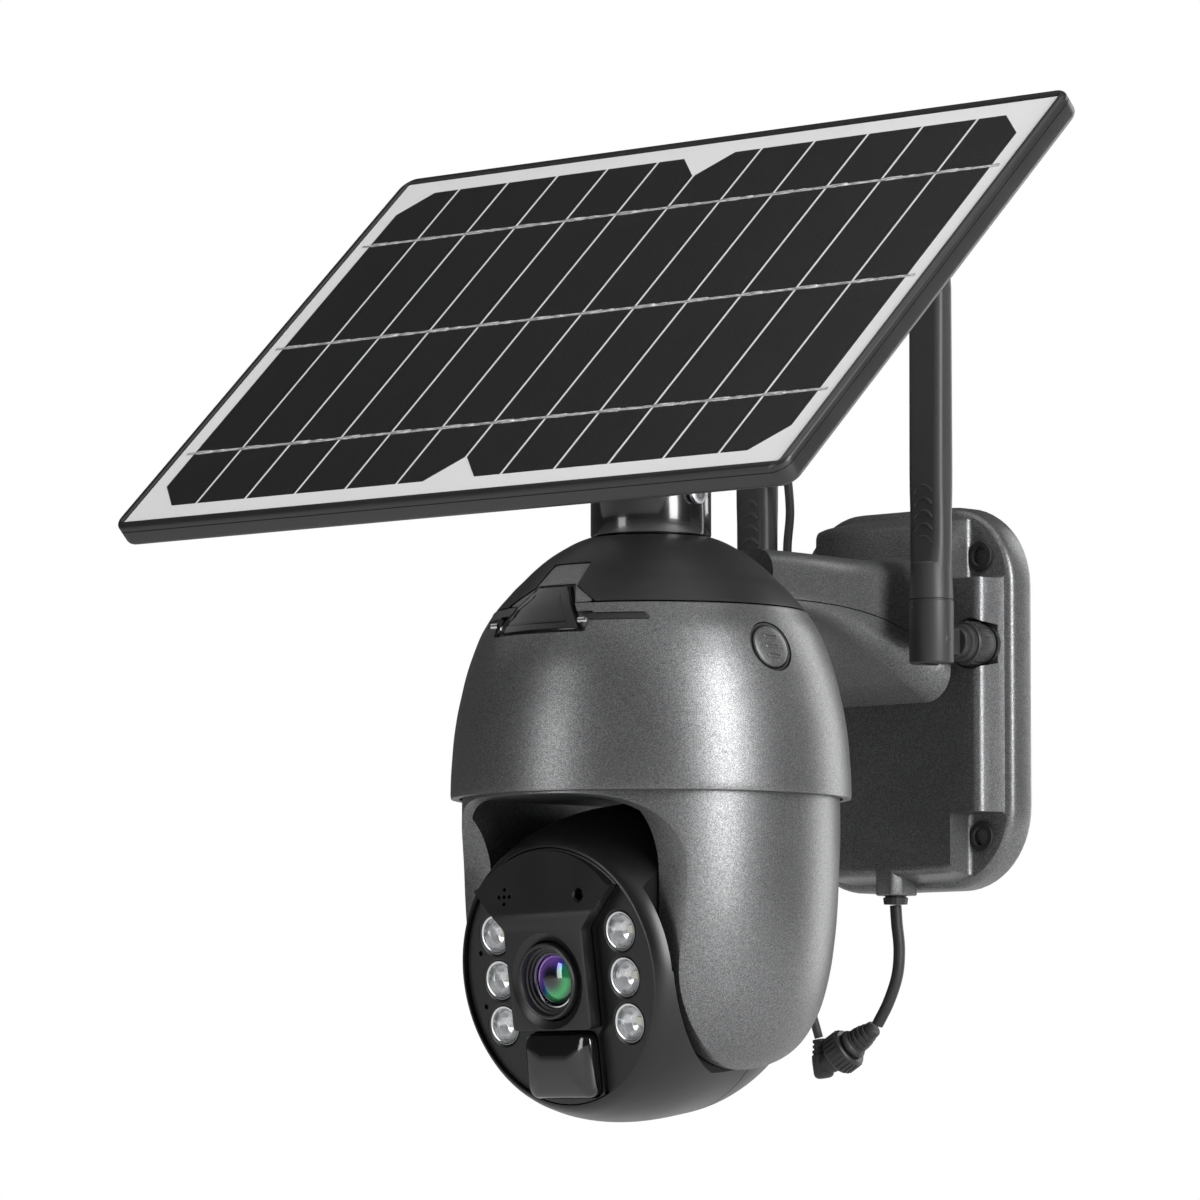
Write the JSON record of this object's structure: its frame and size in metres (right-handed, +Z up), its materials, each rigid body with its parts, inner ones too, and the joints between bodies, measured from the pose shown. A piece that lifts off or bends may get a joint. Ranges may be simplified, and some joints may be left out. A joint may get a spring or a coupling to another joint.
{
  "type": "pan and tilt security camera with solar panel",
  "caption": "Wall-mounted outdoor security camera: grey housing on an arm, turning yoke, tilting black lamp-and-lens head, folding aerials and a tilting solar panel on top.",
  "frame": {"origin": "middle of the wall base's back face", "axes": "+Y into the wall, +Z up, +X to the right seen from the front"},
  "size_m": [0.3, 0.2396, 0.3286],
  "materials": {
    "steel": "zinc-plated steel",
    "brass": "turned brass",
    "metallic_grey": "satin gunmetal-grey metallic paint on moulded plastic",
    "matt_black": "fine satin black moulded plastic",
    "gloss_black": "polished black plastic",
    "black_rubber": "matt black rubber",
    "white_acetal": "natural acetal",
    "lamp_lens": "clear moulded lens",
    "camera_lens": "coated dark glass",
    "solar_laminate": "near-black solar cells under a clear satin sheet with a white border",
    "board": "green circuit board",
    "battery_wrap": "blue shrink wrap"
  },
  "bodies": {
    "fixed_body": {"wall_plate": "steel", "base_cover": "metallic_grey", "cable_gland": "black_rubber", "arm_upper": "metallic_grey", "arm_lower": "metallic_grey", "upper_housing": "metallic_grey", "top_cap": "matt_black", "crown_insert": "metallic_grey", "button_seal": "black_rubber", "neck_tube": "gloss_black", "clamp_screw": "steel", "pan_plate": "matt_black", "pan_motor": "steel", "battery_pack": "battery_wrap", "main_board": "board", "speaker": "matt_black", "aerial_socket_left": "brass", "aerial_socket_right": "brass", "pigtail_cord": "black_rubber", "pigtail_socket": "black_rubber", "coupling_nut": "matt_black", "lead_plug": "black_rubber", "solar_lead": "black_rubber"},
    "pan_yoke": {"yoke": "metallic_grey", "pan_gear": "white_acetal", "tilt_motor": "steel"},
    "pan_pinion": {"pan_pinion": "brass"},
    "tilt_head": {"head_front": "matt_black", "head_rear": "matt_black", "face_plate": "matt_black", "face_raised": "matt_black", "lens_barrel": "matt_black", "lens_glass": "camera_lens", "lamp_1": "lamp_lens", "lamp_2": "lamp_lens", "lamp_3": "lamp_lens", "lamp_4": "lamp_lens", "lamp_5": "lamp_lens", "lamp_6": "lamp_lens", "lamp_board": "board", "sensor_window": "gloss_black", "trunnion_left": "matt_black", "trunnion_right": "matt_black", "tilt_gear": "white_acetal"},
    "tilt_pinion": {"tilt_pinion": "brass"},
    "panel_swivel": {"swivel_post": "matt_black", "tilt_bolt": "steel", "tilt_knob": "matt_black", "solar_lead_loop": "black_rubber"},
    "solar_panel": {"panel_frame": "matt_black", "panel_laminate": "solar_laminate", "panel_bracket": "matt_black", "junction_box": "matt_black"},
    "aerial_swivel_left": {"aerial_nut_left": "matt_black"},
    "aerial_swivel_right": {"aerial_nut_right": "matt_black"},
    "aerial_left": {"aerial_blade_left": "matt_black"},
    "aerial_right": {"aerial_blade_right": "matt_black"},
    "call_button": {"side_button": "metallic_grey"},
    "slot_cover": {"slot_cover": "matt_black"}
  },
  "joints": [
    {"name": "pan", "type": "hinge", "parent": "fixed_body", "child": "pan_yoke", "pos_m": [0, -0.137, -0.0386], "axis": [0, 0, 1], "range_deg": [-177.5, 177.5]},
    {"name": "pan_drive", "type": "hinge", "parent": "fixed_body", "child": "pan_pinion", "pos_m": [0, -0.1082, -0.0199], "axis": [0, 0, 1], "range_deg": [-533, 533]},
    {"name": "tilt", "type": "hinge", "parent": "pan_yoke", "child": "tilt_head", "pos_m": [0, -0.137, -0.0906], "axis": [1, 0, 0], "range_deg": [-8.5, 81.5]},
    {"name": "tilt_drive", "type": "hinge", "parent": "pan_yoke", "child": "tilt_pinion", "pos_m": [-0.0432, -0.137, -0.0746], "axis": [1, 0, 0], "range_deg": [-245, 26]},
    {"name": "panel_swivel", "type": "hinge", "parent": "fixed_body", "child": "panel_swivel", "pos_m": [0, -0.137, 0.066], "axis": [0, 0, 1], "range_deg": [-35, 35]},
    {"name": "panel_tilt", "type": "hinge", "parent": "panel_swivel", "child": "solar_panel", "pos_m": [0, -0.137, 0.08], "axis": [1, 0, 0], "range_deg": [-28, 15], "deforming": ["solar_lead_loop"]},
    {"name": "aerial_turn_left", "type": "hinge", "parent": "fixed_body", "child": "aerial_swivel_left", "pos_m": [-0.0392, -0.0284, 0.017], "axis": [0, 1, 0], "range_deg": [-100, 0]},
    {"name": "aerial_turn_right", "type": "hinge", "parent": "fixed_body", "child": "aerial_swivel_right", "pos_m": [0.0392, -0.0284, 0.017], "axis": [0, -1, 0], "range_deg": [-100, 0]},
    {"name": "aerial_fold_left", "type": "hinge", "parent": "aerial_swivel_left", "child": "aerial_left", "pos_m": [-0.0392, -0.0418, 0.017], "axis": [-1, 0, 0], "range_deg": [-20, 0]},
    {"name": "aerial_fold_right", "type": "hinge", "parent": "aerial_swivel_right", "child": "aerial_right", "pos_m": [0.0392, -0.0418, 0.017], "axis": [-1, 0, 0], "range_deg": [-20, 0]},
    {"name": "button_press", "type": "slide", "parent": "fixed_body", "child": "call_button", "axis": [-0.9419, 0.0824, -0.3256], "range_m": [0, 0.0012], "stiffness_N_per_m": 800, "springref_m": -0.0006},
    {"name": "slot_cover_open", "type": "hinge", "parent": "fixed_body", "child": "slot_cover", "pos_m": [0, -0.1929, 0.0138], "axis": [1, 0, 0], "range_deg": [0, 75]}
  ],
  "couplings": [
    {"joint": "pan_drive", "follows": "pan", "ratio": -3},
    {"joint": "tilt_drive", "follows": "tilt", "ratio": -3}
  ]
}
